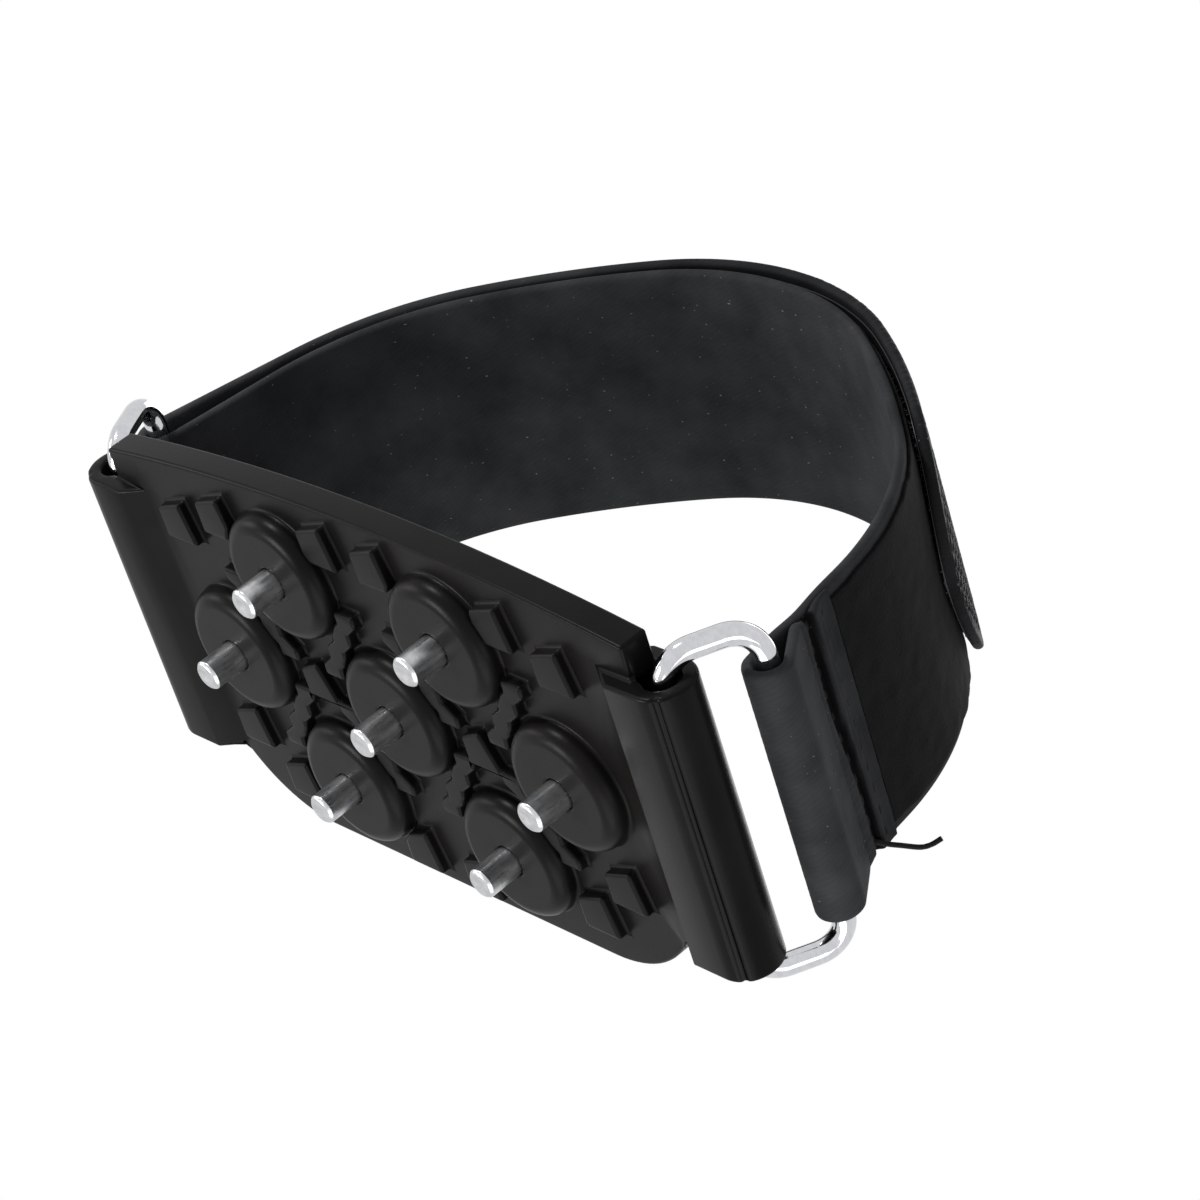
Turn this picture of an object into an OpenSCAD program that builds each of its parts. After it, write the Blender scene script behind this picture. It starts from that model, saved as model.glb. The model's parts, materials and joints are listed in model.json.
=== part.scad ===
// Mini crampon: a studded rubber tread plate, held under the forefoot by a strap and two wire rings.
// X runs across the foot towards the anchor ring, -Y points to the toe and +Z is up.
// The origin is on the ground under the centre stud, midway between the two rings.

/* [Tread plate] */
// Thickness of the rubber plate
plate_t = 4; // [3:0.1:6]
// Width of the plate, toe to heel, at its middle
plate_w = 55; // [52:0.5:64]
// How far the bowed toe edge falls back at the ends of the plate
toe_bow = 3.1; // [1:0.1:5]
// Radius of the two heel corners
heel_corner = 17.5; // [12:0.5:20]
// Gap between a toe corner and the mouth of the sleeve beside it
toe_gap = 0.4; // [0.3:0.1:1.5]
// Distance between the two ring bars that lie in the end sleeves
bar_span = 99.4; // [96:0.2:104]
// Depth of the ring bars below the upper side of the plate
bar_drop = 1.9; // [1.4:0.1:2.6]

/* [End sleeves] */
// Thickness of the rubber flap that is folded round a ring bar
flap_t = 2.5; // [2:0.1:3.2]
// Room round the ring bar inside the folded flap
bar_clear = 0.2; // [0.1:0.05:0.4]
// Length of the slot behind the ring bar, where the flap is not bonded
slot_len = 3.6; // [1:0.1:5]
// How far each sleeve reaches past the edge of the webbing
sleeve_over = 2.5; // [2:0.1:5]
// Width of the crease pressed along the outer lower edge of a sleeve
crease_w = 0.8; // [0.4:0.1:1.2]
// Angle of that crease round the ring bar, from level
crease_a = -55; // [-70:1:-30]

/* [Studs] */
// Diameter of a stud's shank
stud_d = 4; // [3:0.1:5]
// Length of a stud that stands out of its boss
stud_out = 4.8; // [3:0.1:7]
// Diameter of the flanged head on the upper side
head_d = 8; // [6.5:0.1:10]
// Thickness of the flanged head
head_t = 1.4; // [1:0.1:2]
// Room between a stud and the rubber
stud_clear = 0.05; // [0.02:0.01:0.15]
// Chamfer round the worn tip
tip_chamfer = 0.35; // [0.1:0.05:0.6]
// Depth of the shallow dish in the tip
tip_dish = 0.25; // [0.1:0.05:0.5]
// Spacing of studs along a row, across the foot
stud_pitch_x = 30; // [28:0.5:33]
// Spacing of the rows of studs, toe to heel
stud_pitch_y = 15.5; // [14.5:0.1:16.5]

/* [Tread] */
// Diameter of the boss round a stud
boss_d = 17.4; // [16:0.1:18.4]
// Height of a boss below the plate
boss_h = 2.7; // [2:0.1:3.6]
// Radius of the rounded shoulder of a boss
boss_shoulder = 2; // [1:0.1:2.4]
// Height of the cleats below the plate
cleat_h = 1.5; // [1:0.1:2.4]
// Size of a cleat
cleat_w = 6; // [5:0.1:6.6]
// Slope of a cleat's toe edge, as its rise across the cleat
cleat_skew = 1.6; // [0:0.1:2.4]
// How much narrower than its heel edge an edge cleat is at its toe edge
cleat_flare = 1.2; // [0:0.1:2]
// Width of the toe edge of the two middle cleats
middle_toe_w = 3.6; // [3:0.1:5]
// Depth of the two middle cleats, toe to heel
middle_depth = 5.8; // [4:0.1:6.4]
// Length of the toothed bars between neighbouring bosses, toe to heel
bar_len = 12.8; // [11:0.1:13.6]
// Width of a toothed bar
bar_w = 3.5; // [2.8:0.1:4]
// Sideways step from one tooth of a bar to the next
bar_step = 2.1; // [1.4:0.1:2.4]
// Least gap between a cleat and a boss
tread_gap = 0.45; // [0.3:0.05:0.8]

/* [Wire rings] */
// Diameter of the ring wire
wire_d = 2.8; // [2.2:0.1:3.2]
// Distance between the two long bars of a ring
ring_cc = 11.4; // [10.6:0.1:12.8]
// Radius of a ring's corners, at the middle of the wire
ring_corner = 4; // [3.6:0.1:4.6]
// Room between the end of a sleeve and the ring
ring_side = 0.9; // [0.5:0.1:1.5]
// Angle at which the strap pulls the rings up, from level
ring_tilt = 60; // [50:1:68]

/* [Strap] */
// Width of the webbing
strap_w = 35; // [30:0.5:40]
// Thickness of the webbing
web_t = 1.3; // [1:0.1:1.8]
// Room between a ring bar and the webbing round it
loop_clear = 0.3; // [0.2:0.05:0.5]
// Clear height from the plate to the crown of the strap
foot_h = 66; // [64.5:0.5:72]
// Lean of the strap's sides, from upright
side_lean = 8; // [6.5:0.5:11]
// Radius of the strap over each shoulder of the foot, at its middle
shoulder_r = 40; // [34:0.5:42]
// Radius of the strap over the crown of the foot, at its middle
crown_r = 38; // [34:0.5:44]
// Angle round the strap, from level, where a shoulder runs into the slope to the crown
slope_from = 48; // [44:0.5:52]
// Angle where that slope runs into the crown
slope_to = 60; // [56:0.5:64]
// Length of the hem where the sewn loop lies flat on the strap
hem_flat = 6.5; // [6:0.5:7.5]
// Height of that hem above the ring bar
hem_rise = 6.5; // [5.5:0.5:7.5]

/* [Closure] */
// Thickness of the loop tape on the strap
loop_t = 0.5; // [0.4:0.05:1]
// Thickness of the hook tape under the tail
hook_t = 0.5; // [0.4:0.05:1]
// Length of the hook tape
hook_len = 66; // [40:1:80]
// How far both tapes stay inside the edges of the webbing
tape_inset = 1.5; // [0.5:0.1:3]
// Gap between the closed hook and loop tapes
tape_gap = 0.2; // [0.15:0.05:0.5]
// Glue line between a tape and its webbing
bond_gap = 0.05; // [0.02:0.01:0.1]
// Distance from the anchor ring's bar, along the strap, to the tip of the tail
tip_from_bar = 37; // [34:0.5:48]
// How much the radius of the tail's rounded tip exceeds half of the webbing's width
tip_ease = 1.3; // [0.5:0.1:6]

/* [Stitching] */
// Width of the sewing thread
thread_w = 0.6; // [0.4:0.05:0.8]
// How far a stitch stands out of the webbing
thread_h = 0.35; // [0.2:0.05:0.5]
// Length of one stitch
stitch_len = 2.3; // [1.6:0.1:3]
// Pitch of the stitches
stitch_pitch = 3.1; // [2.6:0.1:4]
// Distance between the two rows of the anchor seam
seam_rows = 2.6; // [2:0.1:3]

/* [Hidden] */
$fn = 64;

// Heights above the ground
boss_z = stud_out;
under_z = boss_z + boss_h;
seat_z = under_z + plate_t;
bar_z = seat_z - bar_drop;

// Sleeves and rings
bar_x = bar_span / 2;
wire_r = wire_d / 2;
bore_r = wire_r + bar_clear;
sleeve_r = bore_r + flap_t;
sleeve_len = strap_w + 2 * sleeve_over;
ring_half = sleeve_len / 2 + ring_side + wire_r;
bend_in = ring_corner - ring_side - wire_r;
flare_r = ring_corner - sqrt((ring_corner - wire_r) ^ 2 - bend_in ^ 2) + bar_clear;
flare_len = bend_in + bar_clear;
ring_bar = [bar_x + ring_cc * cos(ring_tilt), bar_z + ring_cc * sin(ring_tilt)];

// Plate outline: its ends inside the sleeves, and the toe corners that reach past them
plate_end = bar_x - sleeve_r - slot_len / 2;
toe_end = bar_x - flare_r - toe_gap;
toe_edge_r = (toe_end ^ 2 + toe_bow ^ 2) / (2 * toe_bow);
fold_ramp = 1.5;
embed = 0.5;

// Stud places, toe row first
stud_grid = [[-0.5, -1], [0.5, -1], [-1, 0], [0, 0], [1, 0], [-0.5, 1], [0.5, 1]];
function stud_xy(i) = [stud_grid[i].x * stud_pitch_x, stud_grid[i].y * stud_pitch_y];

// Edge cleats by their place from the plate's middle, mirrored to both ends
toe_cleats = [[34.4, -18], [25.4, -21.2], [5, -23]];
heel_cleats = [[34.6, 13.2], [27.6, 19.4], [5.6, 22.4]];

// Strap path in the XZ plane: lean sides, then two shoulders, two slopes and a crown
loop_r = wire_r + loop_clear + web_t / 2;
arch_top = seat_z + foot_h + web_t / 2;
lean_out = [cos(side_lean), sin(side_lean)];
lean_up = [-sin(side_lean), cos(side_lean)];
strap_foot = ring_bar - loop_r * lean_out;
slope_turn = polar(1, slope_to) - polar(1, slope_from);
arch_rest = [0, arch_top - crown_r] + crown_r * polar(1, slope_to) - strap_foot
  - shoulder_r * (polar(1, slope_from) - lean_out);
// The side's length and the slope's radius follow from where the strap starts and how high it goes
side_len = cross(arch_rest, slope_turn) / cross(lean_up, slope_turn);
slope_r = cross(lean_up, arch_rest) / cross(lean_up, slope_turn);
shoulder_c = strap_foot + side_len * lean_up - shoulder_r * lean_out;
slope_c = shoulder_c + (shoulder_r - slope_r) * polar(1, slope_from);
crown_c = [0, arch_top - crown_r];

// Arcs of the arch, from the anchor side: where each one ends, its radius and its centre
arch_arcs = [[slope_from, shoulder_r, shoulder_c], [slope_to, slope_r, slope_c],
  [180 - slope_to, crown_r, crown_c], [180 - slope_from, slope_r, flip(slope_c)],
  [180, shoulder_r, flip(shoulder_c)]];

// Layers outside the strap, measured from the middle of its webbing
tape_w = strap_w - 2 * tape_inset;
loop_in = web_t / 2 + bond_gap;
loop_out = loop_in + loop_t;
hook_in = loop_out + tape_gap;
hook_out = hook_in + hook_t;
tail_in = hook_out + bond_gap;
tail_mid = tail_in + web_t / 2;
tail_out = tail_in + web_t;

// Tail: a straight run from the slip ring's bar up to the shoulder
bar_to_shoulder = ring_bar - shoulder_c;
tail_lean = atan2(bar_to_shoulder.y, bar_to_shoulder.x)
  + acos((shoulder_r + tail_mid - loop_r) / norm(bar_to_shoulder));
fold_lead = 3;
tip_r = strap_w / 2 + tip_ease;
tip_a = angle_after(side_lean, tip_from_bar - side_len, 0);
tip_centre_a = angle_after(tip_a, tip_r, tail_mid);
hook_end_a = angle_after(tip_a, hook_len, tail_mid);
arc_step = 3;

function polar(r, a) = r * [cos(a), sin(a)];
function flip(p) = [-p.x, p.y];

// Angles from a to b, both ends kept, on the same steps for every layer
function arc_angles(a, b) = concat([a],
  [for (k = [floor(a / arc_step) + 1 : ceil(b / arc_step) - 1]) k * arc_step], [b]);

// Arc of the arch that holds the angle a
function arc_for(a, i = 0) =
  a < arch_arcs[i][0] || i == len(arch_arcs) - 1 ? arch_arcs[i] : arc_for(a, i + 1);

// Point of the arch whose outward side faces the angle a, off the middle of the webbing
function arch_at(a, off) = arc_for(a)[2] + polar(arc_for(a)[1] + off, a);

// Angle reached after a length along the arch, starting at the angle a
function angle_after(a, len, off) =
  let (end = arc_for(a)[0], r = arc_for(a)[1] + off, left = (end - a) * PI / 180 * r)
  len < left ? a + len / r * 180 / PI : angle_after(end, len - left, off);

// Point on the straight anchor side, s along it and off outwards
function side_at(s, off) = strap_foot + s * lean_up + off * lean_out;

function reversed(list) = [for (i = [len(list) - 1 : -1 : 0]) list[i]];

// A strip of webbing: an XZ outline drawn across the strap's width
module strip(outline, width = strap_w) {
  rotate([90, 0, 0])
    linear_extrude(width, center = true)
      polygon(outline);
}

// Sleeve and plate

module sleeve_profile() {
  fold_x = -slot_len - bore_r;
  root_x = fold_x - fold_ramp * (sleeve_r - bar_drop) - embed;
  difference() {
    union() {
      circle(r = sleeve_r);
      polygon([[0, sleeve_r], [fold_x, sleeve_r], [root_x, bar_drop - embed],
        [root_x, bar_drop - plate_t + embed], [fold_x, -sleeve_r], [0, -sleeve_r]]);
    }
    circle(r = bore_r);
    translate([-slot_len, 0]) circle(r = bore_r);
    translate([-slot_len, -bore_r]) square([slot_len, 2 * bore_r]);
    rotate(crease_a)
      translate([sleeve_r, 0])
        rotate(45)
          square(crease_w / sqrt(2), center = true);
  }
}

module sleeve() {
  difference() {
    rotate([90, 0, 0])
      linear_extrude(sleeve_len, center = true)
        sleeve_profile();
    for (side = [-1, 1])
      translate([0, side * (sleeve_len / 2 - flare_len / 2 + embed / 2), 0])
        rotate([90, 0, 0])
          cylinder(r = flare_r, h = flare_len + embed, center = true);
  }
}

module plate_outline() {
  toe_y = -plate_w / 2;
  corner_x = plate_end - heel_corner;
  intersection() {
    translate([0, toe_y + toe_edge_r]) circle(r = toe_edge_r, $fn = 256);
    union() {
      translate([-corner_x, toe_y]) square([2 * corner_x, plate_w]);
      translate([-plate_end, toe_y]) square([2 * plate_end, plate_w - heel_corner]);
      for (x = [-corner_x, corner_x])
        translate([x, toe_y + plate_w - heel_corner]) circle(r = heel_corner);
      translate([-toe_end, toe_y]) square([2 * toe_end, (plate_w - sleeve_len) / 2 + embed]);
    }
  }
}

// Boss with a rounded shoulder, standing down from the plate
module boss() {
  rotate_extrude() {
    translate([0, -boss_h]) square([boss_d / 2 - boss_shoulder, boss_h + embed]);
    translate([0, boss_shoulder - boss_h]) square([boss_d / 2, boss_h - boss_shoulder + embed]);
    intersection() {
      translate([boss_d / 2 - boss_shoulder, boss_shoulder - boss_h]) circle(r = boss_shoulder);
      translate([0, -boss_h]) square([boss_d / 2, boss_h]);
    }
  }
}

// One side of a toothed bar: flat teeth, each a step further along the gap between two bosses
bar_teeth = 4;
tooth_pitch = bar_len / bar_teeth;
tooth_flat = tooth_pitch / 2;
function bar_side(x) = [for (k = [0 : bar_teeth - 1], end = [-0.5, 0.5])
  let (t = k - (bar_teeth - 1) / 2) [x + t * bar_step, t * tooth_pitch + end * tooth_flat]];

module toothed_bar() {
  polygon(concat(bar_side(bar_w / 2), reversed(bar_side(-bar_w / 2))));
}

// Cleat with a sloping toe edge that is narrower than its heel edge
module cleat(depth, toe_w) {
  left = -cleat_w / 2;
  polygon([[left, cleat_skew - depth / 2], [left + toe_w, -depth / 2], [cleat_w / 2, depth / 2],
    [left, depth / 2]]);
}

module tread_pattern() {
  for (x = [-0.75, -0.25, 0.25, 0.75], y = [-0.5, 0.5]) {
    slope = x * y > 0 ? 1 : -1;
    leans_back = (abs(x) > 0.5 ? slope : -slope) < 0;
    translate([x * stud_pitch_x, y * stud_pitch_y])
      mirror([leans_back ? 1 : 0, 0])
        toothed_bar();
  }
  for (side = [-1, 1]) {
    translate([side * stud_pitch_x / 2, 0]) cleat(middle_depth, middle_toe_w);
    for (c = concat(toe_cleats, heel_cleats))
      translate([side * c.x, c.y]) cleat(cleat_w, cleat_w - cleat_flare);
  }
}

module tread_plate() {
  color([0.16, 0.155, 0.15])
  difference() {
    union() {
      translate([0, 0, under_z]) linear_extrude(plate_t) plate_outline();
      for (side = [0, 1])
        mirror([side, 0, 0]) translate([bar_x, 0, bar_z]) sleeve();
      for (i = [0 : len(stud_grid) - 1])
        translate([stud_xy(i).x, stud_xy(i).y, under_z]) boss();
      translate([0, 0, under_z - cleat_h])
        linear_extrude(cleat_h + embed)
          difference() {
            tread_pattern();
            for (i = [0 : len(stud_grid) - 1])
              translate(stud_xy(i)) circle(d = boss_d + 2 * tread_gap);
          }
    }
    for (i = [0 : len(stud_grid) - 1])
      translate([stud_xy(i).x, stud_xy(i).y, 0]) {
        cylinder(d = stud_d + 2 * stud_clear, h = seat_z + embed);
        translate([0, 0, seat_z - head_t]) cylinder(d = head_d + 2 * stud_clear, h = head_t + embed);
      }
  }
}

// Studs

module stud(i) {
  r = stud_d / 2;
  color([0.78, 0.79, 0.8])
    translate([stud_xy(i).x, stud_xy(i).y, 0])
      rotate_extrude()
        polygon([[0, tip_dish], [r - 2 * tip_chamfer, 0], [r - tip_chamfer, 0], [r, tip_chamfer],
          [r, seat_z - head_t], [head_d / 2, seat_z - head_t], [head_d / 2, seat_z], [0, seat_z]]);
}

module stud_toe_left() { stud(0); }
module stud_toe_right() { stud(1); }
module stud_mid_left() { stud(2); }
module stud_centre() { stud(3); }
module stud_mid_right() { stud(4); }
module stud_heel_left() { stud(5); }
module stud_heel_right() { stud(6); }

// Rings

// A rectangular wire ring: one long bar on the Y axis, the other ring_cc along X
module wire_ring() {
  straight = ring_half - ring_corner;
  for (x = [0, ring_cc])
    translate([x, -straight, 0]) rotate([-90, 0, 0]) cylinder(r = wire_r, h = 2 * straight);
  for (y = [-ring_half, ring_half])
    translate([ring_corner, y, 0]) rotate([0, 90, 0]) cylinder(r = wire_r, h = ring_cc - 2 * ring_corner);
  for (corner = [[0, 0], [1, 0], [1, 1], [0, 1]]) {
    turn = corner.x == 0 ? (corner.y == 0 ? 180 : 90) : (corner.y == 0 ? 270 : 0);
    translate([corner.x == 0 ? ring_corner : ring_cc - ring_corner,
      corner.y == 0 ? -straight : straight, 0])
      rotate([0, 0, turn])
        rotate_extrude(angle = 90)
          translate([ring_corner, 0]) circle(r = wire_r);
  }
}

module anchor_ring() {
  color([0.85, 0.86, 0.88])
    translate([bar_x, 0, bar_z]) rotate([0, -ring_tilt, 0]) wire_ring();
}

module slip_ring() {
  color([0.85, 0.86, 0.88])
    mirror([1, 0, 0])
      translate([bar_x, 0, bar_z]) rotate([0, -ring_tilt, 0]) wire_ring();
}

// Strap

// One edge of the strap's arch, from the anchor ring over the foot to the slip ring
function arch_edge(off) = concat([side_at(0, off)],
  [for (a = arc_angles(side_lean, 180 - side_lean)) arch_at(a, off)], [flip(side_at(0, off))]);

// Loop round the anchor ring's bar, and the hem that is sewn back on the strap's outside
hem_mid = side_at(hem_rise, web_t) - ring_bar;
hem_a = atan2(hem_mid.y, hem_mid.x) - acos(loop_r / norm(hem_mid));
function loop_edge(r) = [for (a = arc_angles(180 + side_lean, 360 + hem_a)) ring_bar + polar(r, a)];

module strap_body() {
  half = web_t / 2;
  color([0.1, 0.105, 0.11]) {
    strip(concat(arch_edge(half), reversed(arch_edge(-half))));
    strip(concat(loop_edge(loop_r + half),
      [side_at(hem_rise, web_t + half), side_at(hem_rise + hem_flat, web_t + half),
      side_at(hem_rise + hem_flat, half - embed), side_at(hem_rise, half - embed), side_at(hem_rise, half)],
      reversed(loop_edge(loop_r - half))));
  }
}

// Turn of the webbing round the slip ring's bar
function fold_edge(r) = concat(
  [for (a = arc_angles(180 + side_lean, 360 + tail_lean)) ring_bar + polar(r, a)],
  [ring_bar + polar(r, tail_lean) + polar(fold_lead, tail_lean + 90)]);

module strap_fold() {
  half = web_t / 2;
  color([0.1, 0.105, 0.11])
    mirror([1, 0, 0])
      strip(concat(fold_edge(loop_r + half), reversed(fold_edge(loop_r - half))));
}

// Tail of the strap, folded back over the outside

function tail_edge(a, off) = concat([for (b = arc_angles(a, 180 - tail_lean)) arch_at(b, off)],
  [flip(ring_bar + polar(loop_r + off - tail_mid, tail_lean) + polar(fold_lead, tail_lean + 90))]);
function tape_edge(a, b, off) = [for (c = arc_angles(a, b)) arch_at(c, off)];

// Round end of the tail: what lies past its centre is cut to a cylinder square to the webbing
module tip_round(r) {
  mid_a = (tip_a + tip_centre_a) / 2;
  centre = arch_at(tip_centre_a, tail_mid);
  translate([centre.x, 0, centre.y])
    rotate([0, 90 - mid_a, 0])
      cylinder(r = r, h = 4 * r, center = true, $fn = 96);
}

tip_over = 14;
tip_join = 0.4;

module strap_tail() {
  color([0.1, 0.105, 0.11]) {
    strip(concat(tail_edge(tip_centre_a - tip_join, tail_out),
      reversed(tail_edge(tip_centre_a - tip_join, tail_in))));
    intersection() {
      strip(concat(tape_edge(tip_a - tip_over, tip_centre_a, tail_out),
        reversed(tape_edge(tip_a - tip_over, tip_centre_a, tail_in))));
      tip_round(tip_r);
    }
  }
}

module hook_tape() {
  color([0.07, 0.07, 0.075]) {
    strip(concat(tape_edge(tip_centre_a - tip_join, hook_end_a, hook_out),
      reversed(tape_edge(tip_centre_a - tip_join, hook_end_a, hook_in))), tape_w);
    intersection() {
      strip(concat(tape_edge(tip_a - tip_over, tip_centre_a, hook_out),
        reversed(tape_edge(tip_a - tip_over, tip_centre_a, hook_in))), tape_w);
      tip_round(tip_r - tape_inset);
    }
  }
}

// Loop tape on the strap's outside, from the hem to just above the slip ring
module loop_tape() {
  hem_room = 1;
  function edge(off) = concat([side_at(hem_rise + hem_flat + hem_room, off)],
    [for (a = arc_angles(side_lean, 180 - side_lean)) arch_at(a, off)],
    [flip(side_at(hem_rise, off))]);
  color([0.12, 0.125, 0.13])
    strip(concat(edge(loop_out), reversed(edge(loop_in))), tape_w);
}

// Stitching

// One row of stitches across the hem, s along the strap, on its outside and its inside
module seam_row(s) {
  count = floor((strap_w - stitch_len) / stitch_pitch);
  for (i = [0 : count], outside = [0, 1]) {
    off = outside == 1 ? web_t * 1.5 + thread_h / 2 : -web_t / 2 - thread_h / 2;
    place = side_at(s, off);
    translate([place.x, (i - count / 2) * stitch_pitch, place.y])
      rotate([0, -side_lean, 0])
        cube([thread_h, stitch_len, thread_w], center = true);
  }
}

seam_mid = hem_rise + hem_flat / 2;

module anchor_seam_lower() {
  color([0.05, 0.05, 0.055]) seam_row(seam_mid - seam_rows / 2);
}

module anchor_seam_upper() {
  color([0.05, 0.05, 0.055]) seam_row(seam_mid + seam_rows / 2);
}

tread_plate();
stud_toe_left();
stud_toe_right();
stud_mid_left();
stud_centre();
stud_mid_right();
stud_heel_left();
stud_heel_right();
anchor_ring();
slip_ring();
strap_body();
strap_fold();
strap_tail();
loop_tape();
hook_tape();
anchor_seam_lower();
anchor_seam_upper();
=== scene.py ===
# %% [markdown]
# # Dressing a mini crampon
# A mini crampon is a studded rubber plate that a webbing strap ties under the ball of the foot. The
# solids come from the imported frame: the plate, its studs and its wire rings are already right, so
# they keep their meshes and get bevels and finishes. The strap is cloth, so its plain solids are
# replaced by woven pieces that are modelled here, in the same place and at the same size.

import json
import math

import bpy
import numpy as np
from mathutils import Matrix, Vector


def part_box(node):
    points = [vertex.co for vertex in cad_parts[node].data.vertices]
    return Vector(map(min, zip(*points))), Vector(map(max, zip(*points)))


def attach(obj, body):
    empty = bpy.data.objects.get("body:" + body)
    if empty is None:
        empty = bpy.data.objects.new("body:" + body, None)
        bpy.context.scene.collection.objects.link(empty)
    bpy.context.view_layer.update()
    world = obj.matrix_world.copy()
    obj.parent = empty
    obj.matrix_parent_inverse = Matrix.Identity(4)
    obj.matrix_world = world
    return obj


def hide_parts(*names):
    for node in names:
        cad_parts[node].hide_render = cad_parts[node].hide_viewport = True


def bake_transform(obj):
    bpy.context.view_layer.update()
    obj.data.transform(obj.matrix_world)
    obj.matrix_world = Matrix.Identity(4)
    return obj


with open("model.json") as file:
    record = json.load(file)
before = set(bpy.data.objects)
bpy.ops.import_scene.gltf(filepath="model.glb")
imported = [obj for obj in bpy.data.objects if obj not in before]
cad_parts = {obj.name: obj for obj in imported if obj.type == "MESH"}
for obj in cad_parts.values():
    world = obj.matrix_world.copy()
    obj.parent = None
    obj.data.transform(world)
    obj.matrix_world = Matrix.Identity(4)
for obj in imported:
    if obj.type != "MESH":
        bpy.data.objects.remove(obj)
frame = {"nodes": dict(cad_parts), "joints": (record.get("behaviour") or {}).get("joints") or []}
nodes = frame["nodes"]
joints = {joint["name"]: joint for joint in frame["joints"]}
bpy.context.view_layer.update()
MM = 0.001

# %% [markdown]
# ## Where the strap runs
# The strap is one length of webbing. It is sewn round the bar of the anchor ring, goes over the
# foot, turns round the bar of the slip ring and comes back over itself. A curve object could be
# bent by hand to follow the solids. But seen from the toe the strap is a set of lines and arcs, so
# a few sizes fix the whole route, and points worked out from them land where the solids are. The
# two ring bars come from the joints of the frame, and the arcs are drawn so that the crown has the
# solid's height.

# %% Strap sizes
WEB_T = 1.3 * MM        # thickness of the webbing
BAR_ROOM = 0.3 * MM     # room between a ring bar and the webbing round it
SIDE_LEAN = 8           # lean of the sides, in degrees from upright
SHOULDER_R = 40 * MM    # radius over each side of the foot, at the middle of the webbing
CROWN_R = 38 * MM       # radius over the crown of the foot
SLOPE_FROM = 48         # angle round the strap, from level, where a shoulder runs into a slope
SLOPE_TO = 60           # angle where that slope runs into the crown
HEM_RISE = 6.5 * MM     # start of the flat hem above the anchor ring's bar
HEM_FLAT = 6.5 * MM     # length of the flat hem
PILE_T = 0.5 * MM       # thickness of the loop tape
HOOK_T = 0.5 * MM       # thickness of the hook tape
TAPE_GAP = 0.2 * MM     # gap between the closed tapes
BOND = 0.05 * MM        # glue line between a tape and its webbing
TIP_ALONG = 37 * MM     # from the anchor ring's bar, along the strap, to the tip of the tail
FOLD_LEAD = 3 * MM      # straight run at the start of the tail

anchor_bar = Vector(joints["strap_swing"]["pos_m"])
ring_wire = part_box("anchor_ring")[1].x - anchor_bar.x
strap_low, strap_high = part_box("strap_body")
STRAP_W = strap_high.y - strap_low.y
loop_r = ring_wire + BAR_ROOM + WEB_T / 2
tail_off = WEB_T / 2 + BOND + PILE_T + TAPE_GAP + HOOK_T + BOND + WEB_T / 2
print("in mm: wire radius", round(ring_wire / MM, 2), "and strap width", round(STRAP_W / MM, 1))
print("the tail lies", round(tail_off / MM, 2), "mm off the strap")

# %% Arch over the foot
def polar(radius, degrees):
    return radius * np.array([math.cos(math.radians(degrees)), math.sin(math.radians(degrees))])


def flip(points):
    """The same points on the slip ring's side."""
    return np.asarray(points) * [-1, 1]


def arc(centre, radius, start, stop):
    """Points on an arc in the XZ plane, half a degree apart."""
    count = max(2, int(abs(stop - start) * 2))
    return np.array([centre + polar(radius, a) for a in np.linspace(start, stop, count)])


bar = np.array([anchor_bar.x, anchor_bar.z])
lean_out = polar(1, SIDE_LEAN)
lean_up = polar(1, SIDE_LEAN + 90)
strap_foot = bar - loop_r * lean_out
crown_c = np.array([0, strap_high.z - WEB_T / 2 - CROWN_R])
slope_turn = polar(1, SLOPE_TO) - polar(1, SLOPE_FROM)
shoulder_rise = SHOULDER_R * (polar(1, SLOPE_FROM) - lean_out)
arch_rest = crown_c + CROWN_R * polar(1, SLOPE_TO) - strap_foot - shoulder_rise
side_len, slope_r = np.linalg.solve(np.column_stack([lean_up, slope_turn]), arch_rest)
shoulder_c = strap_foot + side_len * lean_up - SHOULDER_R * lean_out
slope_c = shoulder_c + (SHOULDER_R - slope_r) * polar(1, SLOPE_FROM)
ARCS = (
    (SLOPE_FROM, SHOULDER_R, shoulder_c),
    (SLOPE_TO, slope_r, slope_c),
    (180 - SLOPE_TO, CROWN_R, crown_c),
    (180 - SLOPE_FROM, slope_r, flip(slope_c)),
    (270, SHOULDER_R, flip(shoulder_c)),
)
print("in mm: slope radius", round(slope_r / MM, 1), "and straight side", round(side_len / MM, 1))

# %% Route of each length
def side_at(along, off):
    """A point beside the straight anchor side: along it from the ring's bar, and off it outwards."""
    return strap_foot + along * lean_up + off * lean_out


def arch(start, stop, off):
    """The arch between two outward angles, off the middle of the webbing."""
    parts, low = [], -90
    for high, radius, centre in ARCS:
        if max(start, low) < min(stop, high):
            parts.append(arc(centre, radius + off, max(start, low), min(stop, high)))
        low = high
    return np.concatenate(parts)


hem_turn = side_at(HEM_RISE, WEB_T) - bar
hem_bend = math.acos(loop_r / np.linalg.norm(hem_turn))
hem_angle = math.degrees(math.atan2(hem_turn[1], hem_turn[0]) - hem_bend)
to_shoulder = bar - shoulder_c
tail_lean = math.degrees(
    math.atan2(to_shoulder[1], to_shoulder[0])
    + math.acos((SHOULDER_R + tail_off - loop_r) / np.linalg.norm(to_shoulder))
)
tip_angle = SIDE_LEAN + math.degrees((TIP_ALONG - side_len) / SHOULDER_R)
tail_base = bar + polar(loop_r, tail_lean) + polar(FOLD_LEAD, tail_lean + 90)
body_parts = [
    [side_at(HEM_RISE + HEM_FLAT, WEB_T), side_at(HEM_RISE, WEB_T)],
    arc(bar, loop_r, hem_angle, SIDE_LEAN - 180),
    arch(SIDE_LEAN, 180 - SIDE_LEAN, 0),
    [flip(strap_foot)],
]
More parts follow.
